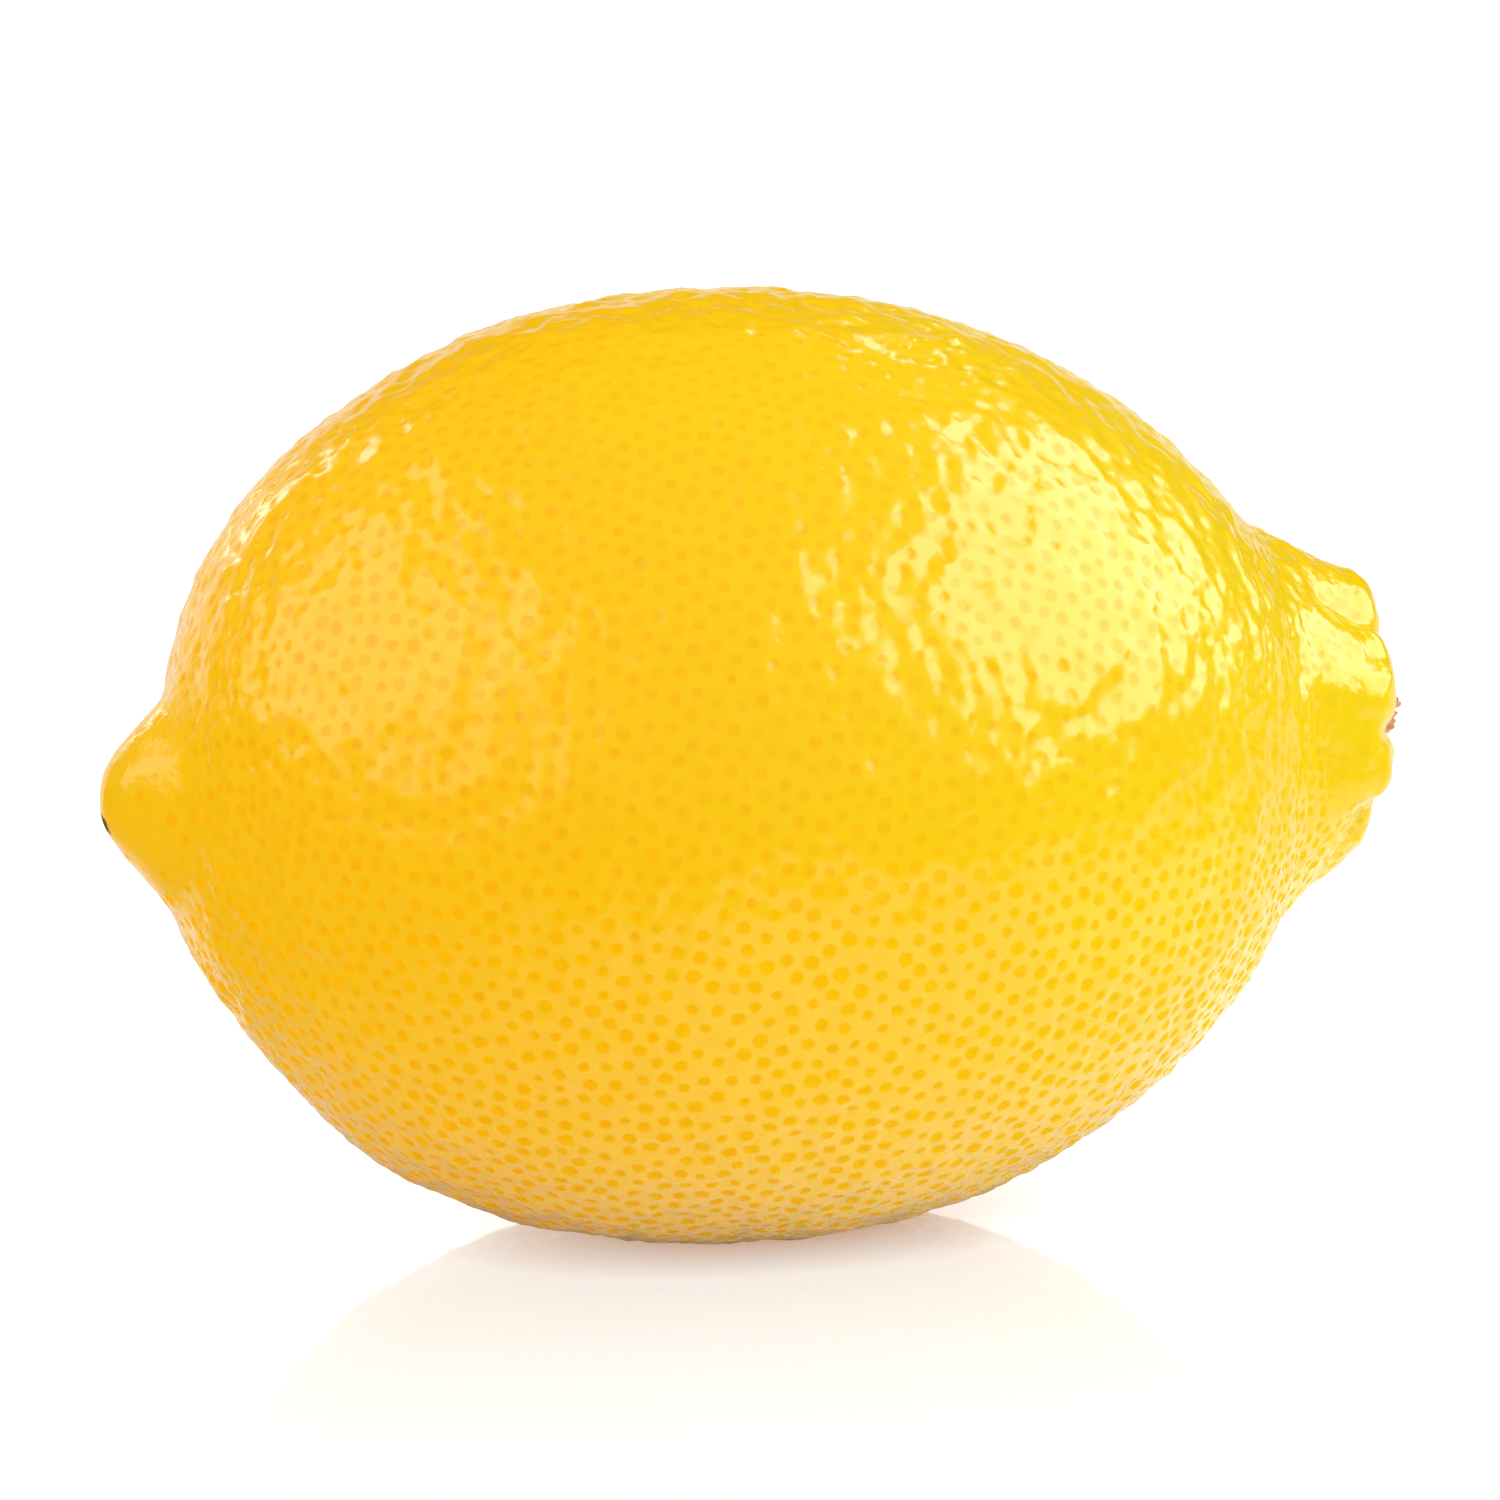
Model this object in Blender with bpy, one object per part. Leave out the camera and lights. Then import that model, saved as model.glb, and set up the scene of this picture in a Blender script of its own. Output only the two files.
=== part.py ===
"""A whole lemon lying on its side, with the dried stem button in the hollow of its neck.

Metres, +Z up. The long axis runs along X: the blossom end's nipple points to -X and the
stem end to +X. The origin is the middle of the base. The fruit is one grown solid with a
small flat resting spot. The stem button is a separate dry, woody piece seated in it.
"""

import math

import bmesh
import bpy

MM = 0.001

# Body of the fruit, measured from its widest ring
GIRTH_RADIUS = 31.0 * MM        # radius of the widest ring
BLOSSOM_HALF = (37.2 * MM, 2.2) # half-length towards the nipple, and fullness:
STEM_HALF = (38.6 * MM, 2.0)    # 2 is an ellipsoid, more is fuller in the shoulders
BODY_SWELL = 0.004              # share of the radius by which the body is out of round
REST_DEPTH = 0.26 * MM          # how much of the belly the flat resting spot takes off

# Nipple at the blossom end
NIPPLE_TIP_X = -41.5 * MM
NIPPLE_TIP_RADIUS = 3.9 * MM
NIPPLE_BLEND = 1.1 * MM         # softness of the hollow between nipple and body
NIPPLE_RISE = 0.2 * MM          # height of the nipple's centre
SHOULDER_RISE = 0.9 * MM        # height of the ring just behind it
NIPPLE_FLARE = (1.5 * MM, 5.0 * MM)   # how softly it grows out of the body, above and in front

# Neck, rim and hollow at the stem end
NECK_X = 36.0 * MM              # where the neck leaves the body
NECK_RADIUS = 12.8 * MM
NECK_TAPER = 0.62               # loss of radius for each unit of length
NECK_REACH = 8.0 * MM           # how far back into the body the neck's taper is felt
NECK_BLEND = 0.7 * MM
NECK_RISE = 1.1 * MM            # height of the neck's centre
RIM_START_X = 40.8 * MM         # the neck's straight side ends here
RIM_CREST_X = 42.6 * MM
RIM_CREST_RADIUS = 6.5 * MM
RIM_TILT = 0.7 * MM             # the rim's upper side stands this much further out
HOLLOW_FLOOR_X = 39.4 * MM
HOLLOW_RADIUS = 5.1 * MM        # inner wall of the hollow

# Grooves that divide the neck into lobes: the angle at the rim and at the foot of the neck,
# in degrees from the -Y side towards +Z, and the depth of the groove
GROOVES = (
    (53.0, 64.0, 1.0 * MM),
    (9.0, 4.0, 0.35 * MM),
    (-26.0, -64.0, 0.7 * MM),
    (-80.0, -104.0, 0.8 * MM),
    (-132.0, -142.0, 1.1 * MM),
    (-188.0, -180.0, 0.9 * MM),
    (-252.0, -244.0, 1.1 * MM),
)
LOBE_FULLNESS = 0.7             # under 1 gives round lobes and narrow grooves
RIM_GROOVE_SHARE = 0.75         # how far the rim dips at a groove, as a share of its depth

# Flat place on the front of the neck, and the small notch in the rim beside it
FACET_NORMAL = (0.14, -0.97, 0.12)
FACET_REACH = 16.35 * MM        # from the middle of the fruit, along that direction
FACET_TURN = (-26.0, -7.0, 18.0, 36.0)   # degrees where it starts, is full, and ends
NOTCH = (5.0, 5.5, 0.6 * MM)    # angle and half width in degrees, depth

# Stem button
BUTTON_GAP = 0.3 * MM           # clearance between the button and the fruit
BUTTON_RADIUS = 4.2 * MM
BUTTON_THICKNESS = 1.3 * MM
BUTTON_LOBES = 5                # dried sepals
BUTTON_LOBE_DEPTH = 0.07        # share of the radius
STUB_RADIUS = 1.25 * MM
STUB_TIP_X = 45.4 * MM
STUB_SLANT = 0.35 * MM          # half the height lost across the broken end
STUB_SAG = 0.5 * MM             # how far its end hangs down

# Mesh density
FRUIT_SEGMENTS = 64
BUTTON_SEGMENTS = 30
NIPPLE_RINGS = 9
BODY_RINGS = 23
NECK_RINGS = 12


def smooth_max(a, b, blend):
    """The larger of two radii, with the corner between them rounded."""
    return 0.5 * (a + b + math.hypot(a - b, blend))


def smooth_step(value, low, high):
    t = min(1.0, max(0.0, (value - low) / (high - low)))
    return t * t * (3.0 - 2.0 * t)


def body_radius(x):
    half_length, fullness = BLOSSOM_HALF if x < 0.0 else STEM_HALF
    share = min(1.0, abs(x) / half_length)
    return GIRTH_RADIUS * math.sqrt(1.0 - share ** fullness)


def nipple_end_radius(x):
    nipple = math.sqrt(2.0 * NIPPLE_TIP_RADIUS * (x - NIPPLE_TIP_X))
    softness = NIPPLE_BLEND * smooth_step(x, NIPPLE_TIP_X, -BLOSSOM_HALF[0])
    return smooth_max(body_radius(x), nipple, softness)


def neck_end_radius(x):
    neck = NECK_RADIUS - NECK_TAPER * max(x - NECK_X, -NECK_REACH)
    return smooth_max(body_radius(x), neck, NECK_BLEND)


def centre_height(x):
    """Height of the centre line: the two ends don't lie quite in line with the body."""
    at_shoulder = SHOULDER_RISE * smooth_step(-x, 22 * MM, 33 * MM)
    at_nipple = (NIPPLE_RISE - SHOULDER_RISE) * smooth_step(-x, 33.5 * MM, 36.5 * MM)
    at_neck = NECK_RISE * smooth_step(x, 31 * MM, 40 * MM)
    return at_shoulder + at_nipple + at_neck


def rim_profile():
    """The outline from the neck's straight side over the rim to the middle of the hollow."""
    start = neck_end_radius(RIM_START_X)
    points = []
    steps = 7
    for i in range(1, steps + 1):    # outer quarter round, up to the crest
        turn = 0.5 * math.pi * i / steps
        x = RIM_START_X + (RIM_CREST_X - RIM_START_X) * math.sin(turn)
        points.append((x, RIM_CREST_RADIUS + (start - RIM_CREST_RADIUS) * math.cos(turn) ** 0.9))
    steps = 5
    for i in range(1, steps + 1):    # inner quarter round, down to the hollow's wall
        turn = 0.5 * math.pi * i / steps
        x = RIM_CREST_X - 1.5 * MM * (1.0 - math.cos(turn))
        points.append((x, RIM_CREST_RADIUS - (RIM_CREST_RADIUS - HOLLOW_RADIUS) * math.sin(turn)))
    corner = 0.6 * MM
    points.append((HOLLOW_FLOOR_X + corner, HOLLOW_RADIUS - 0.1 * MM))
    points.append((HOLLOW_FLOOR_X + 0.2 * corner, HOLLOW_RADIUS - 0.35 * MM))
    points.append((HOLLOW_FLOOR_X, HOLLOW_RADIUS - 0.9 * MM))
    points.append((HOLLOW_FLOOR_X, 2.0 * MM))
    return points


def fruit_profile():
    """(x, radius) of each ring, from the nipple's tip to the middle of the hollow."""
    shoulder_x = -36.0 * MM
    points = []
    for i in range(1, NIPPLE_RINGS + 1):
        x = NIPPLE_TIP_X + (shoulder_x - NIPPLE_TIP_X) * (i / NIPPLE_RINGS) ** 1.6
        points.append((x, nipple_end_radius(x)))
    neck_start_x = 32.5 * MM
    for i in range(1, BODY_RINGS + 1):
        turn = math.pi * i / BODY_RINGS
        # Rings lie closer together where the body curves in towards its ends
        share = 0.5 * (1.0 - math.cos(turn)) * 0.45 + (i / BODY_RINGS) * 0.55
        x = shoulder_x + (neck_start_x - shoulder_x) * share
        points.append((x, nipple_end_radius(x) if x < 0 else neck_end_radius(x)))
    for i in range(1, NECK_RINGS + 1):
        x = neck_start_x + (RIM_START_X - neck_start_x) * i / NECK_RINGS
        points.append((x, neck_end_radius(x)))
    return points + rim_profile()


def lobe_height(angle, x):
    """0 in the middle of a lobe, down to minus the groove's depth in a groove."""
    along = smooth_step(x, NECK_X - 1.0 * MM, RIM_CREST_X)
    grooves = [(foot + (rim - foot) * along, depth) for rim, foot, depth in GROOVES]
    grooves.append((grooves[0][0] - 360.0, grooves[0][1]))
    degrees = math.degrees(angle)
    while degrees > grooves[0][0]:
        degrees -= 360.0
    while degrees < grooves[-1][0]:
        degrees += 360.0
    for (high, depth_high), (low, depth_low) in zip(grooves, grooves[1:]):
        if low <= degrees <= high:
            share = (high - degrees) / (high - low)
            depth = depth_high + (depth_low - depth_high) * smooth_step(share, 0.0, 1.0)
            return depth * (math.sin(math.pi * share) ** LOBE_FULLNESS - 1.0)
    return 0.0


def nipple_flare(angle, x):
    """Softens the corner between nipple and body, least on the upper side."""
    share = 0.5 * (1.0 + math.cos(angle + 0.5))
    softness = NIPPLE_FLARE[0] + (NIPPLE_FLARE[1] - NIPPLE_FLARE[0]) * share
    room = 1.0 - min(1.2, abs(x) / BLOSSOM_HALF[0]) ** BLOSSOM_HALF[1]
    body = GIRTH_RADIUS * math.sqrt(0.5 * (room + math.hypot(room, 0.03)))
    nipple = math.sqrt(2.0 * NIPPLE_TIP_RADIUS * (x - NIPPLE_TIP_X))
    tip = smooth_step(x, NIPPLE_TIP_X, -BLOSSOM_HALF[0])
    softer = smooth_max(body * tip, nipple, softness * tip)
    return (softer - nipple_end_radius(x)) * smooth_step(-x, 18.0 * MM, 27.0 * MM)


def half_turn_degrees(angle):
    """The angle in degrees, from -180 to 180."""
    return (math.degrees(angle) + 180.0) % 360.0 - 180.0


def rim_notch(angle):
    middle, half_width, depth = NOTCH
    return depth * math.exp(-((half_turn_degrees(angle) - middle) / half_width) ** 2)


def facet_rise(angle, x, radius, lobe):
    """How far the flat place on the neck's front stands out from the round shape."""
    degrees = half_turn_degrees(angle)
    low, full_low, full_high, high = FACET_TURN
    here = smooth_step(degrees, low, full_low) * smooth_step(-degrees, -high, -full_high)
    here *= smooth_step(x, 35.0 * MM, 38.0 * MM)
    along = min(x, RIM_START_X)
    slope = -FACET_NORMAL[1] * math.cos(angle) + FACET_NORMAL[2] * math.sin(angle)
    plane = (FACET_REACH - FACET_NORMAL[0] * along) / max(0.3, slope)
    straight = neck_end_radius(along)
    end = (radius - RIM_CREST_RADIUS) / (straight - RIM_CREST_RADIUS)
    return here * (plane - straight - lobe) * min(1.0, max(0.0, end))


def fruit_point(x, radius, angle, inside):
    """A point of the skin, angle being measured from the -Y side towards +Z."""
    swell = BODY_SWELL * (math.cos(2.0 * angle + 0.6) + 0.6 * math.cos(3.0 * angle - 40.0 * x))
    out = radius * (1.0 + swell * smooth_step(radius, 8 * MM, 20 * MM))
    if x < -18.0 * MM:
        out += nipple_flare(angle, x)
    lobe = lobe_height(angle, x)
    if inside:
        fade = smooth_step(radius, HOLLOW_RADIUS - 0.2 * MM, RIM_CREST_RADIUS)
        out += 0.3 * lobe * fade
        notch = rim_notch(angle) * fade
        lift = fade
    else:
        grown = smooth_step(x, 34.5 * MM, 39.5 * MM)
        out += lobe * grown + facet_rise(angle, x, radius, lobe * grown)
        notch = rim_notch(angle) * smooth_step(x, 40.2 * MM, RIM_CREST_X)
        lift = smooth_step(x, 39.0 * MM, RIM_CREST_X)
    out -= notch
    height = out * math.sin(angle) + centre_height(x)
    along = x + (RIM_GROOVE_SHARE * lobe + RIM_TILT * math.sin(angle)) * lift - notch
    return (along, -out * math.cos(angle), height)


def skin_over_rings(name, rings, first_pole, last_pole):
    """A closed mesh over rings of points, with a point at each end."""
    model = bmesh.new()
    loops = [[model.verts.new(point) for point in ring] for ring in rings]
    for loop, following in zip(loops, loops[1:]):
        count = len(loop)
        for i in range(count):
            j = (i + 1) % count
            model.faces.new((loop[i], loop[j], following[j], following[i]))
    for loop, pole in ((loops[0], first_pole), (loops[-1], last_pole)):
        centre = model.verts.new(pole)
        for i in range(len(loop)):
            model.faces.new((centre, loop[i], loop[(i + 1) % len(loop)]))
    bmesh.ops.recalc_face_normals(model, faces=model.faces)
    mesh = bpy.data.meshes.new(name)
    model.to_mesh(mesh)
    model.free()
    item = bpy.data.objects.new(name, mesh)
    bpy.context.scene.collection.objects.link(item)
    return item


def turn_angles(count):
    return [2.0 * math.pi * i / count for i in range(count)]


def make_fruit():
    rings = []
    profile = fruit_profile()
    crest = max(range(len(profile)), key=lambda i: profile[i][0])
    for i, (x, radius) in enumerate(profile):
        ring = [fruit_point(x, radius, angle, i > crest) for angle in turn_angles(FRUIT_SEGMENTS)]
        rings.append(ring)
    tip = (NIPPLE_TIP_X, 0.0, centre_height(NIPPLE_TIP_X))
    floor = (HOLLOW_FLOOR_X, 0.0, centre_height(HOLLOW_FLOOR_X))
    fruit = skin_over_rings("fruit", rings, tip, floor)
    flatten_belly(fruit)
    return fruit


def flatten_belly(fruit):
    """Cuts the small flat spot that the fruit rests on."""
    model = bmesh.new()
    model.from_mesh(fruit.data)
    lowest = min(vertex.co.z for vertex in model.verts)
    everything = model.verts[:] + model.edges[:] + model.faces[:]
    cut = bmesh.ops.bisect_plane(
        model, geom=everything, plane_co=(0.0, 0.0, lowest + REST_DEPTH),
        plane_no=(0.0, 0.0, -1.0), clear_outer=True)
    edges = [piece for piece in cut["geom_cut"] if isinstance(piece, bmesh.types.BMEdge)]
    bmesh.ops.edgeloop_fill(model, edges=edges)
    bmesh.ops.recalc_face_normals(model, faces=model.faces)
    model.to_mesh(fruit.data)
    model.free()


def button_profile():
    """(x, radius, how far the sepals' lobes show) of each ring, from the back to the tip."""
    back = HOLLOW_FLOOR_X + BUTTON_GAP
    front = back + BUTTON_THICKNESS
    return [
        (back, 0.62 * BUTTON_RADIUS, 0.5),
        (back + 0.05 * MM, 0.92 * BUTTON_RADIUS, 1.0),
        (back + 0.40 * MM, BUTTON_RADIUS, 1.0),
        (back + 0.80 * MM, 0.93 * BUTTON_RADIUS, 1.0),
        (front - 0.20 * MM, 0.66 * BUTTON_RADIUS, 0.9),
        (front, 0.45 * BUTTON_RADIUS, 0.4),
        (front + 0.45 * MM, 1.12 * STUB_RADIUS, 0.2),
        (front + 1.40 * MM, STUB_RADIUS, 0.1),
        (STUB_TIP_X - STUB_SLANT - 0.25 * MM, STUB_RADIUS, 0.0),
        (STUB_TIP_X - STUB_SLANT, 0.82 * STUB_RADIUS, 0.0),
    ]


def make_stem_button():
    height = centre_height(HOLLOW_FLOOR_X)
    rings = []
    for x, radius, lobed in button_profile():
        ring = []
        for angle in turn_angles(BUTTON_SEGMENTS):
            out = radius * (1.0 + lobed * BUTTON_LOBE_DEPTH * math.cos(BUTTON_LOBES * angle + 0.5))
            # The stub snapped off at a slant, higher on its upper side
            slant = STUB_SLANT * math.sin(angle) * smooth_step(x, 42.5 * MM, 44.0 * MM)
            sag = STUB_SAG * smooth_step(x, 41.0 * MM, 44.0 * MM)
            ring.append((x + slant, -out * math.cos(angle), out * math.sin(angle) + height - sag))
        rings.append(ring)
    back = (HOLLOW_FLOOR_X + BUTTON_GAP, 0.0, height)
    tip = (STUB_TIP_X - 0.8 * STUB_SLANT, 0.0, height - STUB_SAG)
    return skin_over_rings("stem_button", rings, back, tip)


def give_material(item, name, colour, roughness):
    material = bpy.data.materials.new(name)
    material.use_nodes = True
    shader = material.node_tree.nodes["Principled BSDF"]
    shader.inputs["Base Color"].default_value = (*colour, 1.0)
    shader.inputs["Roughness"].default_value = roughness
    shader.inputs["Metallic"].default_value = 0.0
    item.data.materials.append(material)


def stand_on_origin(items):
    """Moves the meshes so that the middle of the whole thing's base is the origin."""
    points = [vertex.co for item in items for vertex in item.data.vertices]
    middle_x = 0.5 * (min(p.x for p in points) + max(p.x for p in points))
    middle_y = 0.5 * (min(p.y for p in points) + max(p.y for p in points))
    base = min(p.z for p in points)
    for item in items:
        for vertex in item.data.vertices:
            vertex.co.x -= middle_x
            vertex.co.y -= middle_y
            vertex.co.z -= base


def main():
    for item in list(bpy.data.objects):
        bpy.data.objects.remove(item, do_unlink=True)
    fruit = make_fruit()
    give_material(fruit, "waxy_yellow_peel", (0.92, 0.60, 0.01), 0.32)
    button = make_stem_button()
    give_material(button, "dry_brown_stem", (0.33, 0.17, 0.07), 0.85)
    stand_on_origin((fruit, button))
    for item in (fruit, button):
        item.data.shade_smooth()
        item.data.set_sharp_from_angle(angle=math.radians(50.0))


main()
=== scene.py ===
"""Looks of a whole lemon: peel dotted with oil glands, a lobed neck and a dry stem button."""

import math

import bpy
import numpy as np
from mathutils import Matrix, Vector, kdtree, noise
from mathutils.geometry import delaunay_2d_cdt


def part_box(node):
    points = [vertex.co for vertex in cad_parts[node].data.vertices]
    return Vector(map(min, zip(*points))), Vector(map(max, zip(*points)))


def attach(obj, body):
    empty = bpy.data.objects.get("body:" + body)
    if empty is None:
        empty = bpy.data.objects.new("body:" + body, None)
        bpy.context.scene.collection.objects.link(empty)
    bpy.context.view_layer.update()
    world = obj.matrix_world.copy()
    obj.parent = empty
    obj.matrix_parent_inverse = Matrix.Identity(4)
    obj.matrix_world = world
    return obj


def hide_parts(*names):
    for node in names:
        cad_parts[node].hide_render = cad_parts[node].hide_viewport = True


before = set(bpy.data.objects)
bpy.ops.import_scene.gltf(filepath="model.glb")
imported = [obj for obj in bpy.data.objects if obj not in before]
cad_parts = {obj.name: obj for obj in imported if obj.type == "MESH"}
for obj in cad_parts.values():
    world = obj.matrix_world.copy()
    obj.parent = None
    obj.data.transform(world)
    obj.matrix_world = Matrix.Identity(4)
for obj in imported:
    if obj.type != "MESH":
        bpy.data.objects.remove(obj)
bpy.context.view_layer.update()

MM = 0.001

# Outline of the fruit, measured from its widest ring along the long axis, as in the CAD
GIRTH_RADIUS = 31.0 * MM
BLOSSOM_HALF = (37.2 * MM, 2.2)
STEM_HALF = (38.6 * MM, 2.0)
BODY_SWELL = 0.004
NIPPLE_TIP_X = -41.5 * MM
NIPPLE_TIP_RADIUS = 3.9 * MM
NIPPLE_BLEND = 1.1 * MM
NIPPLE_RISE = 0.2 * MM
SHOULDER_RISE = 0.9 * MM
NIPPLE_FLARE = (1.5 * MM, 5.0 * MM)   # how softly it grows out of the body, above and in front
NECK_X = 36.0 * MM
NECK_RADIUS = 12.8 * MM
NECK_TAPER = 0.62
NECK_REACH = 8.0 * MM
NECK_BLEND = 0.7 * MM
NECK_RISE = 1.1 * MM
RIM_START_X = 40.8 * MM
RIM_CREST_X = 42.6 * MM
RIM_CREST_RADIUS = 6.5 * MM
RIM_TILT = 0.7 * MM
HOLLOW_FLOOR_X = 39.4 * MM
HOLLOW_RADIUS = 5.1 * MM
GROOVES = (
    (53.0, 64.0, 1.0 * MM),
    (9.0, 4.0, 0.35 * MM),
    (-26.0, -64.0, 0.7 * MM),
    (-80.0, -104.0, 0.8 * MM),
    (-132.0, -142.0, 1.1 * MM),
    (-188.0, -180.0, 0.9 * MM),
    (-252.0, -244.0, 1.1 * MM),
)
LOBE_FULLNESS = 0.7
RIM_GROOVE_SHARE = 0.75
FACET_NORMAL = (0.14, -0.97, 0.12)   # flat place on the front of the neck
FACET_REACH = 16.35 * MM             # from the middle of the fruit, along that direction
FACET_TURN = (-26.0, -7.0, 18.0, 36.0)
NOTCH = (5.0, 5.5, 0.6 * MM)         # in the rim: turn, half width in degrees, depth

# Stem button in the hollow
BUTTON_GAP = 0.3 * MM
BUTTON_RADIUS = 4.2 * MM
BUTTON_THICKNESS = 1.3 * MM
BUTTON_LOBES = 5
BUTTON_LOBE_DEPTH = 0.07
STUB_RADIUS = 1.25 * MM
STUB_TIP_X = 45.4 * MM
STUB_SLANT = 0.35 * MM
STUB_SAG = 0.5 * MM             # how far its end hangs down
STUB_RAGGED = 0.85 * MM         # how unevenly it broke off
BUTTON_CRUMPLE = 0.14 * MM
BUTTON_ROW_STEP = 0.10 * MM
BUTTON_COLUMNS = 120

# Oil glands and the skin's relief
GLAND_SPACING = 1.31 * MM
GLAND_RADIUS = 0.54 * MM
GLAND_DEPTH = 0.045 * MM
GLAND_DENSITY = 8.0e6           # tries for each square metre
NECK_CROWDING = 0.38            # how much closer the glands stand at the neck
NIPPLE_CROWDING = 0.12
PEBBLE_HEIGHT = 0.16 * MM
SWELL_HEIGHT = 0.16 * MM
NECK_WRINKLE_HEIGHT = 0.08 * MM
NIPPLE_WRINKLE_HEIGHT = 0.07 * MM
SEED = 7

# Mesh of the peel: points round each gland, and rows of points between the glands
INNER_RING, OUTER_RING = 4, 7
OUTER_RING_RADIUS = 0.60 * MM
ROW_STEP, FINE_ROW_STEP = 0.60 * MM, 0.40 * MM
CLEAR_OF_GLAND = 0.82 * MM

# Colours of the peel, from the nipple's side to the stem's side
PEEL_YELLOW = (0.90, 0.49, 0.0, 1.0), (0.88, 0.635, 0.0, 1.0)
GLAND_YELLOW = (0.88, 0.40, 0.0, 1.0), (0.86, 0.54, 0.0, 1.0)
PATCH_YELLOW = (0.90, 0.51, 0.0, 1.0)
NIPPLE_OLIVE = (0.72, 0.45, 0.001, 1.0)
SCAR_BROWN = (0.16, 0.075, 0.02, 1.0)

# Colours of the dry stem, from dark to light
STUB_WOOD = (0.45, 0.20, 0.06, 1.0), (0.90, 0.53, 0.24, 1.0)
DISC_WOOD = (0.10, 0.055, 0.02, 1.0), (0.42, 0.26, 0.09, 1.0)

# Colours of the table, from under the fruit outwards: a painted contact shadow, a painted warm
# shade round it, then white
TABLE_PAINTED_CONTACT_SHADOW = (0.45, 0.22, 0.09, 1.0)
TABLE_PAINTED_WARM_SHADE = (0.86, 0.81, 0.76, 1.0)
TABLE_WHITE = (1.0, 1.0, 1.0, 1.0)
TABLE_MATT = (0.98, 0.98, 0.98, 1.0)
BLACK = (0.0, 0.0, 0.0, 1.0)

# Soft lights seen in gloss: azimuth, elevation, width and height in degrees, radiance
SOFT_LIGHTS = {
    "key_light": (79.0, 36.0, 66.0, 45.0, 4.1),
    "fill_light": (-95.0, 33.0, 54.0, 44.0, 1.35),
    "fill_side": (-54.0, 31.0, 20.0, 44.0, 0.8),
    "rim_light": (-158.0, 19.0, 4.0, 24.0, 4.0),
    "back_light": (151.0, 32.0, 3.0, 5.0, 4.5),
}
BACKDROP = (166.0, 18.0, 80.0, 60.0, 1.5)
BACKDROP_DISTANCE = 1.5

# Camera
VIEW_AZIMUTH = math.radians(-14.0)
VIEW_ELEVATION = math.radians(15.0)
VIEW_DISTANCE = 0.60
VIEW_WIDTH = 97.4 * MM          # what the frame's width covers at the fruit
VIEW_AIM = Vector((-0.6 * MM, 0.0, 31.6 * MM))


# ---------------------------------------------------------------- shape of the skin

def smooth_step(value, low, high):
    t = np.clip((value - low) / (high - low), 0.0, 1.0)
    return t * t * (3.0 - 2.0 * t)


def smooth_max(a, b, blend):
    return 0.5 * (a + b + np.hypot(a - b, blend))


def half_turn_degrees(turn):
    """The turn in degrees, from -180 to 180."""
    return np.degrees(np.mod(turn + np.pi, 2.0 * np.pi) - np.pi)


def body_radius(x):
    half_length = np.where(x < 0.0, BLOSSOM_HALF[0], STEM_HALF[0])
    fullness = np.where(x < 0.0, BLOSSOM_HALF[1], STEM_HALF[1])
    share = np.minimum(1.0, np.abs(x) / half_length)
    return GIRTH_RADIUS * np.sqrt(1.0 - share ** fullness)


def nipple_radius(x):
    return np.sqrt(2.0 * NIPPLE_TIP_RADIUS * np.maximum(0.0, x - NIPPLE_TIP_X))


def outer_radius(x):
    """Radius from the nipple's tip to the end of the neck's straight side."""
    softness = NIPPLE_BLEND * smooth_step(x, NIPPLE_TIP_X, -BLOSSOM_HALF[0])
    blossom_end = smooth_max(body_radius(x), nipple_radius(x), softness)
    neck = NECK_RADIUS - NECK_TAPER * np.maximum(x - NECK_X, -NECK_REACH)
    stem_end = smooth_max(body_radius(x), neck, NECK_BLEND)
    return np.where(x < 0.0, blossom_end, stem_end)


def centre_height(x):
    """Height of the outline's middle over the straight axis."""
    at_shoulder = SHOULDER_RISE * smooth_step(-x, 22 * MM, 33 * MM)
    at_nipple = (NIPPLE_RISE - SHOULDER_RISE) * smooth_step(-x, 33.5 * MM, 36.5 * MM)
    at_neck = NECK_RISE * smooth_step(x, 31 * MM, 40 * MM)
    return at_shoulder + at_nipple + at_neck


def place_on_axis(x):
    """The middle of the outline at x."""
    return np.array([x, 0.0, centre_height(x)])


def skin_outline():
    """Rows of (x, radius, 1 inside the hollow), close together, from tip to hollow."""
    nipple_length = 5.0 * MM
    near_tip = NIPPLE_TIP_X + nipple_length * np.linspace(0.02, 1.0, 240) ** 2
    rest = np.linspace(near_tip[-1], RIM_START_X, 1600)[1:]
    x = np.concatenate([near_tip, rest])
    radius = outer_radius(x)
    turn = np.linspace(0.0, 0.5 * np.pi, 60)[1:]
    rim_x = RIM_START_X + (RIM_CREST_X - RIM_START_X) * np.sin(turn)
    rim_r = RIM_CREST_RADIUS + (radius[-1] - RIM_CREST_RADIUS) * np.cos(turn) ** 0.9
    lip_x = RIM_CREST_X - 1.5 * MM * (1.0 - np.cos(turn))
    lip_r = RIM_CREST_RADIUS - (RIM_CREST_RADIUS - HOLLOW_RADIUS) * np.sin(turn)
    corner = 0.9 * MM
    wall_x = np.linspace(lip_x[-1], HOLLOW_FLOOR_X + corner, 30)[1:]
    bend_x = HOLLOW_FLOOR_X + corner * (1.0 - np.sin(turn))
    bend_r = HOLLOW_RADIUS - corner * (1.0 - np.cos(turn))
    floor_r = np.linspace(bend_r[-1], 0.3 * MM, 80)[1:]
    x = np.concatenate([x, rim_x, lip_x, wall_x, bend_x, np.full(floor_r.size, HOLLOW_FLOOR_X)])
    radius = np.concatenate([radius, rim_r, lip_r, np.full(wall_x.size, HOLLOW_RADIUS), bend_r,
                             floor_r])
    inside = (np.arange(x.size) >= near_tip.size + rest.size + turn.size).astype(float)
    return x, radius, inside


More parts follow.
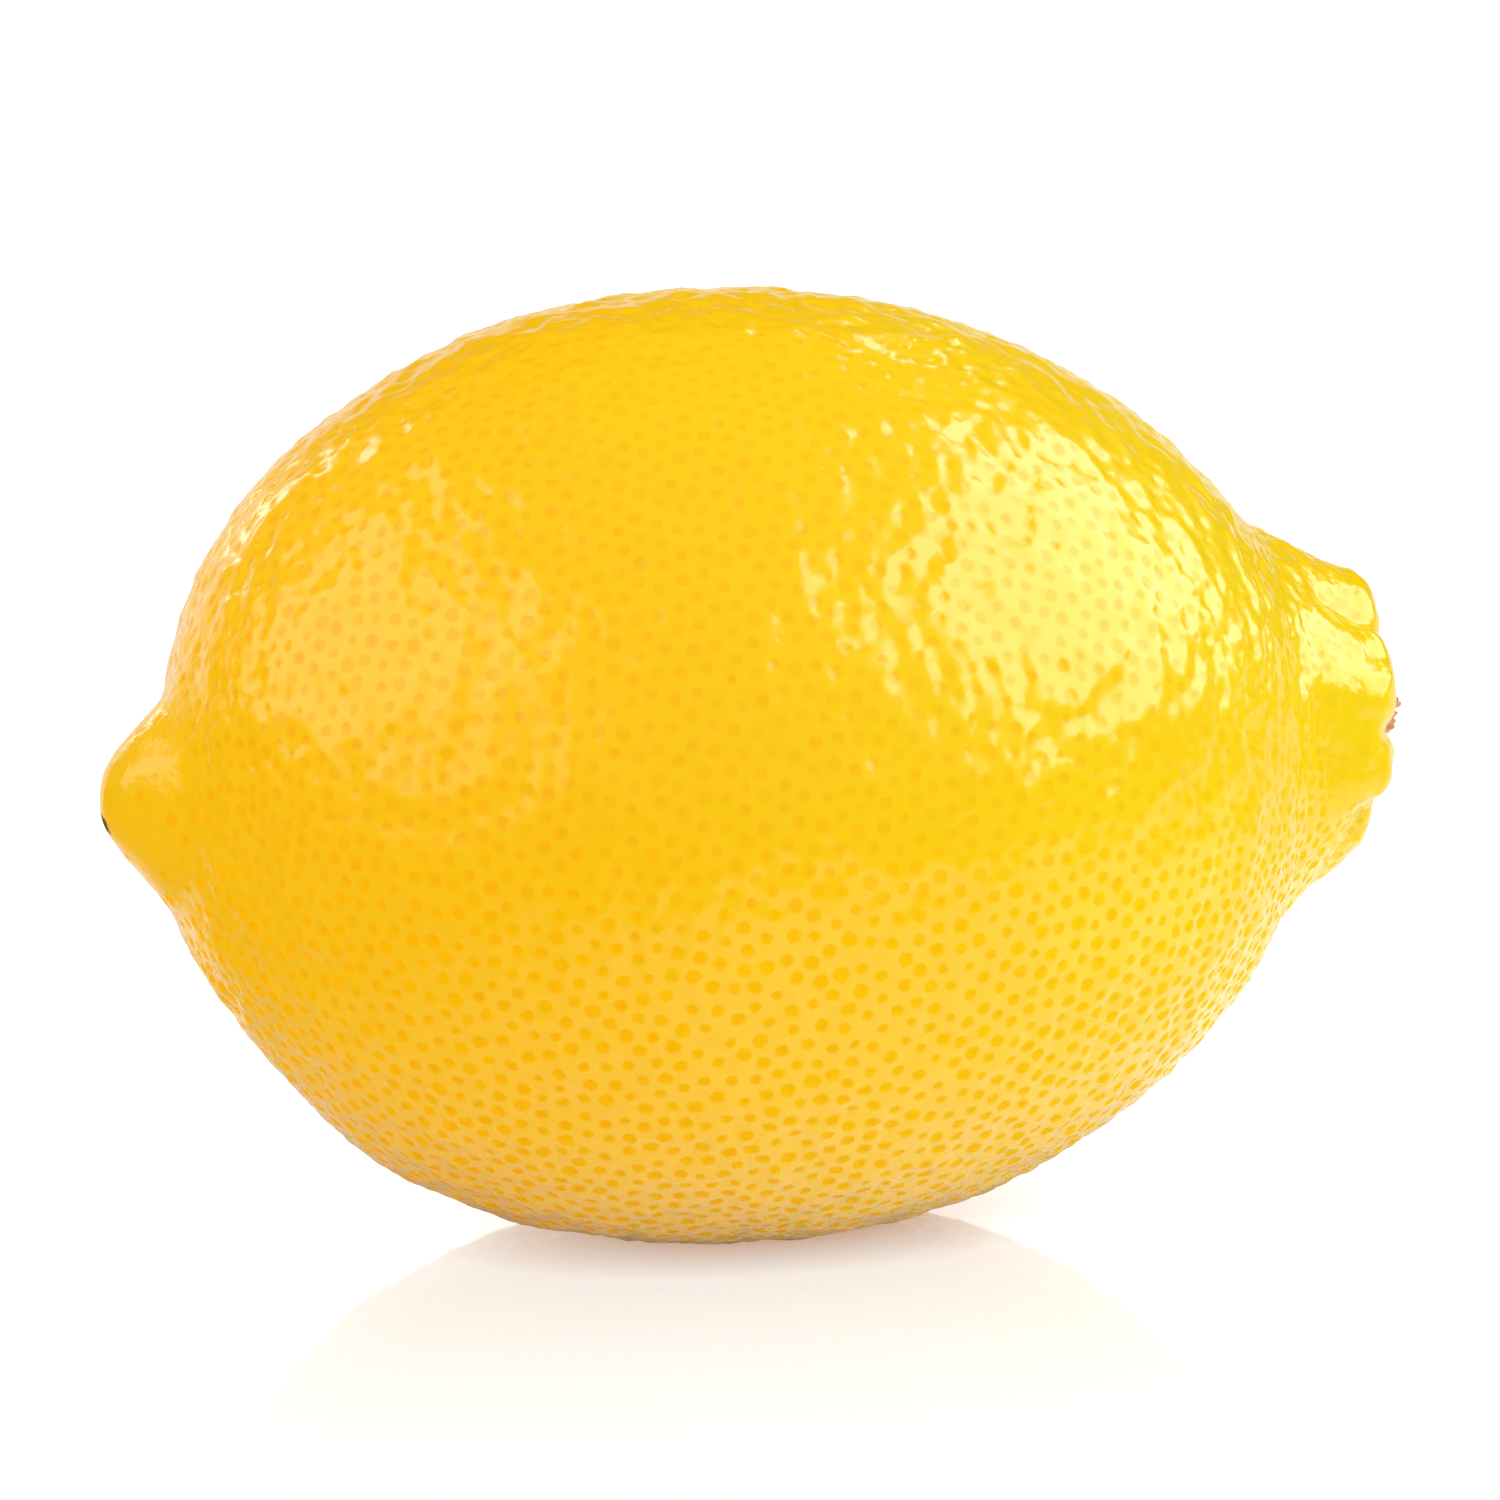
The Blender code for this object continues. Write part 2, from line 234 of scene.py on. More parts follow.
class Skin:
    """The smooth skin. A point is named by its turn round the axis and its stretch along it.

    The stretch grows by the distance along the outline over the radius there, so that equal
    steps of turn and stretch are equally long on the skin and small shapes keep their form.
    """

    def __init__(self):
        self.x, self.radius, self.inside = skin_outline()
        step = np.hypot(np.diff(self.x), np.diff(self.radius))
        self.length = np.concatenate([[0.0], np.cumsum(step)])
        middle = 0.5 * (self.radius[1:] + self.radius[:-1])
        self.stretch = np.concatenate([[0.0], np.cumsum(step / middle)])
        self.shift = np.zeros(3)
        low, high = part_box("fruit")
        turn, stretch = np.meshgrid(np.linspace(0.0, 2.0 * np.pi, 361), self.stretch[::8])
        points = self.points(turn.ravel(), stretch.ravel())
        self.shift = np.array([low.x - NIPPLE_TIP_X, 0.5 * (low.y + high.y),
                               high.z - points[:, 2].max()])

    def at(self, values, stretch):
        return np.interp(stretch, self.stretch, values)

    def points(self, turn, stretch):
        """Places on the skin, in the fruit's frame. The turn starts at -Y and goes towards +Z."""
        x = self.at(self.x, stretch)
        radius = self.at(self.radius, stretch)
        inside = self.at(self.inside, stretch) > 0.5
        swell = BODY_SWELL * (np.cos(2.0 * turn + 0.6) + 0.6 * np.cos(3.0 * turn - 40.0 * x))
        out = radius * (1.0 + swell * smooth_step(radius, 8 * MM, 20 * MM))
        out = out + nipple_flare(turn, x)
        lobe = lobe_height(turn, x)
        tilt = RIM_GROOVE_SHARE * lobe + RIM_TILT * np.sin(turn)
        fade = smooth_step(radius, HOLLOW_RADIUS - 0.2 * MM, RIM_CREST_RADIUS)
        lift = smooth_step(x, 39.0 * MM, RIM_CREST_X)
        grown = smooth_step(x, 34.5 * MM, 39.5 * MM)
        out = out + lobe * np.where(inside, 0.3 * fade, grown)
        out = out + np.where(inside, 0.0, facet_rise(turn, x, radius, lobe * grown))
        notch = rim_notch(turn) * np.where(inside, fade, smooth_step(x, 40.2 * MM, RIM_CREST_X))
        out = out - notch
        along = x + tilt * np.where(inside, fade, lift) - notch
        height = out * np.sin(turn) + centre_height(x)
        points = np.stack([along, -out * np.cos(turn), height], axis=1) + self.shift
        points[:, 2] = np.maximum(points[:, 2], 0.0)
        return points


def nipple_flare(turn, x):
    """Softens the corner between nipple and body, least on the upper side."""
    share = 0.5 * (1.0 + np.cos(turn + 0.5))
    softness = NIPPLE_FLARE[0] + (NIPPLE_FLARE[1] - NIPPLE_FLARE[0]) * share
    room = 1.0 - np.minimum(1.2, np.abs(x) / BLOSSOM_HALF[0]) ** BLOSSOM_HALF[1]
    body = GIRTH_RADIUS * np.sqrt(0.5 * (room + np.hypot(room, 0.03)))
    tip = smooth_step(x, NIPPLE_TIP_X, -BLOSSOM_HALF[0])
    softer = smooth_max(body * tip, nipple_radius(x), softness * tip)
    return (softer - outer_radius(x)) * smooth_step(-x, 18.0 * MM, 27.0 * MM)


def rim_notch(turn):
    """Depth of the small cut in the neck's rim."""
    middle, half_width, depth = NOTCH
    return depth * np.exp(-((half_turn_degrees(turn) - middle) / half_width) ** 2)


def across_facet(turn):
    """1 on the turns that the neck's flat place covers."""
    degrees = half_turn_degrees(turn)
    low, full_low, full_high, high = FACET_TURN
    return smooth_step(degrees, low, full_low) * smooth_step(-degrees, -high, -full_high)


def facet_rise(turn, x, radius, lobe):
    """How far the flat place on the neck's front stands out from the round shape."""
    here = across_facet(turn) * smooth_step(x, 35.0 * MM, 38.0 * MM)
    along = np.minimum(x, RIM_START_X)
    slope = -FACET_NORMAL[1] * np.cos(turn) + FACET_NORMAL[2] * np.sin(turn)
    plane = (FACET_REACH - FACET_NORMAL[0] * along) / np.maximum(0.3, slope)
    straight = outer_radius(along)
    end = np.clip((radius - RIM_CREST_RADIUS) / (straight - RIM_CREST_RADIUS), 0.0, 1.0)
    return here * (plane - straight - lobe) * end


def lobe_height(turn, x):
    """0 in the middle of a lobe, down to minus the groove's depth in a groove."""
    along = smooth_step(x, NECK_X - 1.0 * MM, RIM_CREST_X)
    grooves = [(foot + (rim - foot) * along, depth) for rim, foot, depth in GROOVES]
    grooves.append((grooves[0][0] - 360.0, grooves[0][1]))
    first = grooves[0][0]
    degrees = first - np.mod(first - np.degrees(turn), 360.0)
    height = np.zeros_like(degrees)
    for (high, depth_high), (low, depth_low) in zip(grooves, grooves[1:]):
        share = (high - degrees) / (high - low)
        here = (share >= 0.0) & (share <= 1.0)
        share = np.clip(share, 0.0, 1.0)
        depth = depth_high + (depth_low - depth_high) * smooth_step(share, 0.0, 1.0)
        lobe = depth * (np.sin(np.pi * share) ** LOBE_FULLNESS - 1.0)
        height = np.where(here, lobe, height)
    return height


# ---------------------------------------------------------------- node helpers

def add_node(tree, kind, inputs=None, **settings):
    """A node with its settings, its plain input values and its links from other sockets."""
    node = tree.nodes.new(kind)
    for name, value in settings.items():
        setattr(node, name, value)
    for key, value in (inputs or {}).items():
        if isinstance(value, bpy.types.NodeSocket):
            tree.links.new(value, node.inputs[key])
        else:
            node.inputs[key].default_value = value
    return node


def math_node(tree, operation, *values, clamp=False):
    node = add_node(tree, "ShaderNodeMath", dict(enumerate(values)), operation=operation,
                    use_clamp=clamp)
    return node.outputs[0]


def vector_node(tree, operation, *values):
    node = add_node(tree, "ShaderNodeVectorMath", dict(enumerate(values)), operation=operation)
    scalar = operation in ("LENGTH", "DISTANCE", "DOT_PRODUCT")
    return node.outputs["Value" if scalar else "Vector"]


def ramp_node(tree, value, low, high, start=0.0, end=1.0):
    """A smooth step from start to end as value goes from low to high."""
    node = add_node(tree, "ShaderNodeMapRange",
                    {"Value": value, "From Min": low, "From Max": high,
                     "To Min": start, "To Max": end}, interpolation_type="SMOOTHSTEP")
    return node.outputs["Result"]


def ramp_linear(tree, value, low, high, start=0.0, end=1.0):
    """The same in a straight line."""
    node = add_node(tree, "ShaderNodeMapRange",
                    {"Value": value, "From Min": low, "From Max": high,
                     "To Min": start, "To Max": end}, clamp=True)
    return node.outputs["Result"]


def noise_node(tree, vector, scale, detail):
    node = add_node(tree, "ShaderNodeTexNoise", {
        "Vector": vector, "Scale": scale, "Detail": detail, "Roughness": 0.5})
    return node.outputs[0]


def noise_height(tree, vector, scale, detail):
    """Noise from about -1 to 1."""
    return ramp_linear(tree, noise_node(tree, vector, scale, detail), 0.25, 0.75, -1.0, 1.0)


def mix_colour(tree, share, first, second):
    node = add_node(tree, "ShaderNodeMix", {0: share, 6: first, 7: second}, data_type="RGBA")
    return node.outputs[2]


def geometry_tree(name, inputs):
    """A geometry node tree that takes and gives a geometry, with further named inputs."""
    tree = bpy.data.node_groups.new(name, "GeometryNodeTree")
    tree.interface.new_socket("Geometry", in_out="INPUT", socket_type="NodeSocketGeometry")
    for label, kind in inputs:
        tree.interface.new_socket(label, in_out="INPUT", socket_type=kind)
    tree.interface.new_socket("Geometry", in_out="OUTPUT", socket_type="NodeSocketGeometry")
    return tree, tree.nodes.new("NodeGroupInput"), tree.nodes.new("NodeGroupOutput")


def run_geometry_tree(item, tree, values):
    """Gives the item a mesh worked out by the tree, as a plain mesh."""
    modifier = item.modifiers.new(tree.name, "NODES")
    modifier.node_group = tree
    for socket in tree.interface.items_tree:
        if socket.in_out == "INPUT" and socket.name in values:
            modifier[socket.identifier] = values[socket.name]
    graph = bpy.context.evaluated_depsgraph_get()
    mesh = bpy.data.meshes.new_from_object(item.evaluated_get(graph), depsgraph=graph)
    item.modifiers.remove(modifier)
    item.data = mesh
    return mesh


def new_object(name, points, faces):
    mesh = bpy.data.meshes.new(name)
    mesh.from_pydata(points.tolist(), [], faces.tolist())
    item = bpy.data.objects.new(name, mesh)
    bpy.context.scene.collection.objects.link(item)
    return item


def set_values(mesh, name, values, kind="FLOAT"):
    layer = mesh.attributes.new(name, kind, "POINT")
    key = "vector" if kind == "FLOAT_VECTOR" else "value"
    layer.data.foreach_set(key, np.asarray(values, np.float32).ravel())


def get_vectors(mesh, name):
    layer = mesh.attributes[name]
    values = np.zeros(len(layer.data) * 3, np.float32)
    layer.data.foreach_get("vector", values)
    return values.reshape(-1, 3).astype(float)


def place_vectors(turn, stretch):
    """Turn and stretch as vectors, which have no seam where the turn starts again."""
    return np.stack([np.cos(turn), np.sin(turn), stretch], axis=1)


# ---------------------------------------------------------------- oil glands

def scatter_tree():
    """Spreads points over a skin, none closer than the spacing, thinner where told."""
    tree, given, result = geometry_tree("scatter_glands", (
        ("Spacing", "NodeSocketFloat"), ("Density", "NodeSocketFloat"), ("Seed", "NodeSocketInt")))
    share = add_node(tree, "GeometryNodeInputNamedAttribute", {"Name": "gland_share"},
                     data_type="FLOAT")
    spread = add_node(tree, "GeometryNodeDistributePointsOnFaces", {
        "Mesh": given.outputs["Geometry"], "Distance Min": given.outputs["Spacing"],
        "Density Max": given.outputs["Density"], "Density Factor": share.outputs["Attribute"],
        "Seed": given.outputs["Seed"]}, distribute_method="POISSON")
    points = add_node(tree, "GeometryNodePointsToVertices", {"Points": spread.outputs["Points"]})
    tree.links.new(points.outputs[0], result.inputs[0])
    return tree


def on_facet(turn, x):
    """1 on the flat place on the neck's front, which has no glands."""
    return across_facet(turn) * smooth_step(x, 36.0 * MM, 37.5 * MM)


def gland_share(skin, turn, stretch):
    """1 where glands stand close, 0 on the nipple's tip, over the rim and in the hollow."""
    x = skin.at(skin.x, stretch)
    inside = skin.at(skin.inside, stretch)
    at_nipple = smooth_step(x, -40.5 * MM, -36.0 * MM)
    at_rim = 1.0 - smooth_step(x, 41.0 * MM, 42.4 * MM)
    return np.where(inside > 0.5, 0.0, at_nipple * at_rim * (1.0 - on_facet(turn, x)))


def crowding(x):
    """How many times closer than usual the glands stand."""
    at_neck = NECK_CROWDING * smooth_step(x, 20 * MM, 34 * MM)
    at_nipple = NIPPLE_CROWDING * smooth_step(-x, 26 * MM, 36 * MM)
    return 1.0 + at_neck + at_nipple


def swollen_skin(skin, rows, columns):
    """A round body whose size is up everywhere by how close the glands stand there."""
    crowd = crowding(skin.at(skin.x, rows))
    radius = crowd * skin.at(skin.radius, rows)
    step = np.diff(skin.at(skin.length, rows)) * 0.5 * (crowd[1:] + crowd[:-1])
    along = np.sqrt(np.maximum(step ** 2 - np.diff(radius) ** 2, 0.0))
    along = np.concatenate([[0.0], np.cumsum(along)])
    turn, along = np.meshgrid(2.0 * np.pi * np.arange(columns) / columns, along)
    radius = radius[:, None]
    points = np.stack([along, -radius * np.cos(turn), radius * np.sin(turn)], axis=-1)
    return turn.ravel(), points.reshape(-1, 3)


def scatter_glands(skin):
    """(turn, stretch) of each gland."""
    columns = 240
    rows = np.interp(np.linspace(0.0, skin.length[-1], 260), skin.length, skin.stretch)
    turn, points = swollen_skin(skin, rows, columns)
    stretch = np.repeat(rows, columns)
    index = np.arange(turn.size).reshape(rows.size, columns)
    following = np.roll(index, -1, axis=1)
    faces = np.stack([index[:-1], following[:-1], following[1:], index[1:]], axis=-1)
    coarse = new_object("swollen_skin", points, faces.reshape(-1, 4))
    set_values(coarse.data, "gland_share", gland_share(skin, turn, stretch))
    set_values(coarse.data, "place", place_vectors(turn, stretch), "FLOAT_VECTOR")
    mesh = run_geometry_tree(coarse, scatter_tree(), {
        "Spacing": GLAND_SPACING, "Density": GLAND_DENSITY, "Seed": SEED})
    place = get_vectors(mesh, "place")
    bpy.data.objects.remove(coarse)
    return np.mod(np.arctan2(place[:, 1], place[:, 0]), 2.0 * np.pi), place[:, 2]


# ---------------------------------------------------------------- mesh of the peel

def near_points(points):
    """A search tree of the points."""
    tree = kdtree.KDTree(len(points))
    for i, point in enumerate(points):
        tree.insert(point, i)
    tree.balance()
    return tree


def gland_sizes(skin, turn, stretch, draw):
    """Share of the full size of each gland: smaller by chance and towards both ends."""
    x = skin.at(skin.x, stretch)
    return draw.uniform(0.75, 1.1, turn.size) / crowding(x) ** 0.7


def ring_round(skin, turn, stretch, radius, count, draw):
    """Points in a ring round each gland, each ring turned by chance."""
    start = draw.uniform(0.0, 2.0 * np.pi, turn.size)
    angle = start[:, None] + 2.0 * np.pi * np.arange(count)[None, :] / count
    reach = (radius / skin.at(skin.radius, stretch))[:, None]
    return (turn[:, None] + reach * np.cos(angle)).ravel(), \
        (stretch[:, None] + reach * np.sin(angle)).ravel()


def fill_rows(skin, draw):
    """Rows of points round the fruit, closer together on the nipple and the neck."""
    turns, stretches = [], []
    place = 0.0
    row = 0
    last = skin.length[-1]
    while place <= last:
        stretch = np.interp(place, skin.length, skin.stretch)
        x, radius = skin.at(skin.x, stretch), skin.at(skin.radius, stretch)
        fine = max(smooth_step(x, 32 * MM, 36 * MM), smooth_step(-x, 34 * MM, 38 * MM))
        step = ROW_STEP + (FINE_ROW_STEP - ROW_STEP) * fine
        count = max(8, int(round(2.0 * np.pi * radius / step)))
        loose = 0.0 if place == 0.0 or place == last else 0.12
        turn = 2.0 * np.pi * (np.arange(count) + 0.5 * (row % 2)) / count
        turns.append(turn + loose * step / radius * draw.uniform(-1.0, 1.0, count))
        stretches.append(stretch + loose * step / radius * draw.uniform(-1.0, 1.0, count))
        if place == last:
            break
        place += 0.87 * step
        row += 1
        if place > last - 0.3 * step:
            place = last
    return np.concatenate(turns), np.concatenate(stretches)


def peel_points(skin, glands, draw):
    """(turn, stretch) of every point: each gland's middle, two rings round it, and the rest."""
    turn, stretch, size = glands
    centres = skin.points(turn, stretch)
    near = near_points(centres)
    apart = np.array([near.find_n(point, 2)[1][2] for point in centres])
    outer = np.minimum(OUTER_RING_RADIUS * size, 0.46 * apart)
    rings = [(turn, stretch)]
    rings.append(ring_round(skin, turn, stretch, 0.5 * outer, INNER_RING, draw))
    rings.append(ring_round(skin, turn, stretch, outer, OUTER_RING, draw))
    fill_turn, fill_stretch = fill_rows(skin, draw)
    places = skin.points(fill_turn, fill_stretch)
    room = CLEAR_OF_GLAND / crowding(skin.at(skin.x, fill_stretch))
    clear = np.array([near.find(point)[2] for point in places]) > room
    ends = (fill_stretch == fill_stretch[0]) | (fill_stretch == fill_stretch[-1])
    rings.append((fill_turn[clear | ends], fill_stretch[clear | ends]))
    turns = np.mod(np.concatenate([ring[0] for ring in rings]), 2.0 * np.pi)
    stretches = np.concatenate([ring[1] for ring in rings])
    stretches = np.clip(stretches, skin.stretch[0], skin.stretch[-1])
    return turns, stretches


def join_points(skin, turn, stretch):
    """Triangles over the points, which go all the way round and face out."""
    count = turn.size
    margin = np.minimum(1.8, 4.0 * MM / skin.at(skin.radius, stretch))
    after = np.nonzero(turn < margin)[0]
    before = np.nonzero(turn > 2.0 * np.pi - margin)[0]
    source = np.concatenate([np.arange(count), after, before])
    flat = np.stack([np.concatenate([turn, turn[after] + 2.0 * np.pi,
                                     turn[before] - 2.0 * np.pi]),
                     stretch[source]], axis=1)
    joined = delaunay_2d_cdt([Vector(point) for point in flat], [], [], 0, 1e-9)
    first = np.array([origin[0] for origin in joined[3]])
    faces = first[np.array(joined[2])]
    middle = flat[faces, 0].mean(axis=1)
    kept = faces[(middle >= 0.0) & (middle < 2.0 * np.pi)]
    return source[kept[:, ::-1]]


def close_end(faces, turn, stretch, at, pole):
    """Triangles from the ring at one end to the point in its middle, facing out."""
    ring = np.nonzero(stretch == at)[0]
    ring = ring[np.argsort(turn[ring])]
    if at > 0.0:
        ring = ring[::-1]
    following = np.roll(ring, -1)
    return np.concatenate([faces, np.stack([ring, following, np.full(ring.size, pole)], axis=1)])


def make_peel_mesh(skin):
    """The peel before its glands are pressed in, with the glands' middles and sizes."""
    draw = np.random.default_rng(SEED)
    turn, stretch = scatter_glands(skin)
    size = gland_sizes(skin, turn, stretch, draw)
    all_turn, all_stretch = peel_points(skin, (turn, stretch, size), draw)
    faces = join_points(skin, all_turn, all_stretch)
    points = skin.points(all_turn, all_stretch)
    tip, hollow = place_on_axis(NIPPLE_TIP_X), place_on_axis(HOLLOW_FLOOR_X)
    points = np.concatenate([points, [tip + skin.shift, hollow + skin.shift]])
    count = all_turn.size
    faces = close_end(faces, all_turn, all_stretch, skin.stretch[0], count)
    faces = close_end(faces, all_turn, all_stretch, skin.stretch[-1], count + 1)
    peel = new_object("peel", points, faces)
    all_turn = np.append(all_turn, [0.0, 0.0])
    all_stretch = np.append(all_stretch, skin.stretch[[0, -1]])
    set_values(peel.data, "place", place_vectors(all_turn, all_stretch), "FLOAT_VECTOR")
    return peel, skin.points(turn, stretch), size


def press_tree():
    """Presses a pit at each gland, and gives the skin between them its pebbles and wrinkles."""
    tree, given, result = geometry_tree("pressed_glands", (
        ("Glands", "NodeSocketObject"), ("Pit Radius", "NodeSocketFloat"),
        ("Pit Depth", "NodeSocketFloat"), ("Pebble Height", "NodeSocketFloat"),
        ("Swell Height", "NodeSocketFloat"), ("Neck Wrinkle Height", "NodeSocketFloat"),
        ("Nipple Wrinkle Height", "NodeSocketFloat"), ("Finish", "NodeSocketMaterial")))
    value = given.outputs
    position = add_node(tree, "GeometryNodeInputPosition").outputs[0]
    glands = add_node(tree, "GeometryNodeObjectInfo", {"Object": value["Glands"]})
    glands = glands.outputs["Geometry"]
    nearest = add_node(tree, "GeometryNodeSampleNearest", {
        "Geometry": glands, "Sample Position": position}, domain="POINT").outputs[0]
    middle = add_node(tree, "GeometryNodeSampleIndex", {
        "Geometry": glands, "Index": nearest}, data_type="FLOAT_VECTOR")
    tree.links.new(position, middle.inputs["Value"])
    size_here = add_node(tree, "GeometryNodeInputNamedAttribute", {"Name": "gland_size"},
                         data_type="FLOAT").outputs[0]
    size = add_node(tree, "GeometryNodeSampleIndex", {
        "Geometry": glands, "Index": nearest}, data_type="FLOAT")
    tree.links.new(size_here, size.inputs["Value"])
    middle, size = middle.outputs[0], size.outputs[0]

    reach = math_node(tree, "MULTIPLY", value["Pit Radius"], size)
    away = vector_node(tree, "DISTANCE", position, middle)
    share = math_node(tree, "DIVIDE", away, reach, clamp=True)
    bowl = math_node(tree, "SUBTRACT", 1.0, math_node(tree, "MULTIPLY", share, share))
    bowl = math_node(tree, "MULTIPLY", bowl, bowl)
    depth = math_node(tree, "MULTIPLY", value["Pit Depth"], size)
    height = math_node(tree, "MULTIPLY", math_node(tree, "MULTIPLY", bowl, depth), -1.0)

    # Pebbles are longer round the fruit than along it
    squeezed = vector_node(tree, "MULTIPLY", position, (1.0, 0.62, 0.62))
    pebbles = noise_height(tree, squeezed, 680.0, 1.0)
    swells = noise_height(tree, position, 110.0, 1.0)
    place = add_node(tree, "GeometryNodeInputNamedAttribute", {"Name": "place"},
                     data_type="FLOAT_VECTOR").outputs[0]
    ring_wrinkles = noise_height(
        tree, vector_node(tree, "MULTIPLY", place, (3.5, 3.5, 26.0)), 1.0, 2.0)
    long_wrinkles = noise_height(
        tree, vector_node(tree, "MULTIPLY", place, (13.0, 13.0, 2.2)), 1.0, 2.0)
    along = add_node(tree, "ShaderNodeSeparateXYZ", {0: position}).outputs[0]
    at_neck = math_node(tree, "MULTIPLY", ramp_node(tree, along, 0.026, 0.032),
                        ramp_node(tree, along, 0.037, 0.034))
    at_nipple = math_node(tree, "MULTIPLY", ramp_node(tree, along, -0.0425, -0.0395),
                          ramp_node(tree, along, -0.028, -0.034))
    smooth_end = math_node(tree, "MULTIPLY", ramp_node(tree, along, -0.041, -0.036, 0.45, 1.0),
                           ramp_node(tree, along, 0.0395, 0.036, 0.9, 1.0))
    for relief, amount, mask in ((pebbles, value["Pebble Height"], smooth_end),
                                (swells, value["Swell Height"], smooth_end),
                                (ring_wrinkles, value["Neck Wrinkle Height"], at_neck),
                                (long_wrinkles, value["Nipple Wrinkle Height"], at_nipple)):
        part = math_node(tree, "MULTIPLY", math_node(tree, "MULTIPLY", relief, amount), mask)
        height = math_node(tree, "ADD", height, part)

    # The flat the fruit rests on stays flat
    up = add_node(tree, "ShaderNodeSeparateXYZ", {0: position}).outputs[2]
    height = math_node(tree, "MULTIPLY", height, ramp_node(tree, up, 0.00001, 0.0004))
    normal = add_node(tree, "GeometryNodeInputNormal").outputs[0]
    offset = add_node(tree, "ShaderNodeVectorMath", {0: normal, "Scale": height},
                      operation="SCALE").outputs[0]
    pressed = add_node(tree, "GeometryNodeSetPosition", {
        "Geometry": value["Geometry"], "Offset": offset}).outputs[0]
    marked = add_node(tree, "GeometryNodeStoreNamedAttribute", {
        "Geometry": pressed, "Name": "gland_middle", "Value": middle},
        data_type="FLOAT_VECTOR", domain="FACE").outputs[0]
    marked = add_node(tree, "GeometryNodeStoreNamedAttribute", {
        "Geometry": marked, "Name": "gland_reach", "Value": reach},
        data_type="FLOAT", domain="FACE").outputs[0]
    plain = add_node(tree, "GeometryNodeRealizeInstances", {"Geometry": marked}).outputs[0]
    finished = add_node(tree, "GeometryNodeSetMaterial", {
        "Geometry": plain, "Material": value["Finish"]}).outputs[0]
    tree.links.new(finished, result.inputs[0])
    return tree


def make_peel(skin, finish):
    """The peel with its glands pressed in."""
    peel, middles, size = make_peel_mesh(skin)
    glands = new_object("gland_middles", middles, np.zeros((0, 3), int))
    set_values(glands.data, "gland_size", size)
    run_geometry_tree(peel, press_tree(), {
        "Glands": glands, "Pit Radius": GLAND_RADIUS, "Pit Depth": GLAND_DEPTH,
        "Pebble Height": PEBBLE_HEIGHT, "Swell Height": SWELL_HEIGHT,
        "Neck Wrinkle Height": NECK_WRINKLE_HEIGHT,
        "Nipple Wrinkle Height": NIPPLE_WRINKLE_HEIGHT, "Finish": finish})
    bpy.data.objects.remove(glands)
    peel.data.shade_smooth()
    return peel


# ---------------------------------------------------------------- stem button

def button_outline():
    """Rows of (x, radius, share of the sepals' lobes, share of the fibres) from back to tip."""
    back = HOLLOW_FLOOR_X + BUTTON_GAP
    front = back + BUTTON_THICKNESS
    end = STUB_TIP_X - STUB_SLANT
    rows = np.array([
        (back, 0.02 * BUTTON_RADIUS, 0.0, 0.0),
        (back, 0.62 * BUTTON_RADIUS, 0.5, 0.0),
        (back + 0.05 * MM, 0.92 * BUTTON_RADIUS, 1.0, 0.0),
        (back + 0.40 * MM, BUTTON_RADIUS, 1.0, 0.1),
        (back + 0.80 * MM, 0.93 * BUTTON_RADIUS, 1.0, 0.3),
        (front - 0.20 * MM, 0.66 * BUTTON_RADIUS, 0.9, 0.5),
        (front, 0.45 * BUTTON_RADIUS, 0.4, 0.7),
        (front + 0.45 * MM, 1.12 * STUB_RADIUS, 0.2, 1.0),
        (front + 1.40 * MM, STUB_RADIUS, 0.1, 1.0),
        (end - 0.15 * MM, 0.98 * STUB_RADIUS, 0.0, 1.0),
        (end, 0.86 * STUB_RADIUS, 0.0, 1.0),
        (end - 0.30 * MM, 0.62 * STUB_RADIUS, 0.0, 1.0),
        (end - 0.42 * MM, 0.02 * STUB_RADIUS, 0.0, 0.3),
    ])
    length = np.concatenate([[0.0], np.cumsum(np.hypot(*np.diff(rows[:, :2], axis=0).T))])
    steps = np.unique(np.concatenate([np.arange(0.0, length[-1], BUTTON_ROW_STEP), length]))
    return np.stack([np.interp(steps, length, rows[:, i]) for i in range(4)], axis=1)


def button_noise(x, radius, angle):
    """Rows of noise: fibres along the stub, how it snapped off, and the disc's crumples."""
    fibre, ragged, crumple = np.zeros((3, x.size, angle.size))
    for i in range(x.size):
        along, out = float(x[i]) / MM, float(radius[i]) / MM
        for j in range(angle.size):
            c, s = math.cos(angle[j]), math.sin(angle[j])
            fibre[i, j] = noise.noise((5.0 * c, 5.0 * s, 0.5 * along))
            ragged[i, j] = noise.noise((3.2 * c + 9.0, 3.2 * s, 0.0))
            crumple[i, j] = noise.fractal((1.5 * c * out, 1.5 * s * out, along), 1.0, 2.0, 3)
    return fibre, ragged, crumple


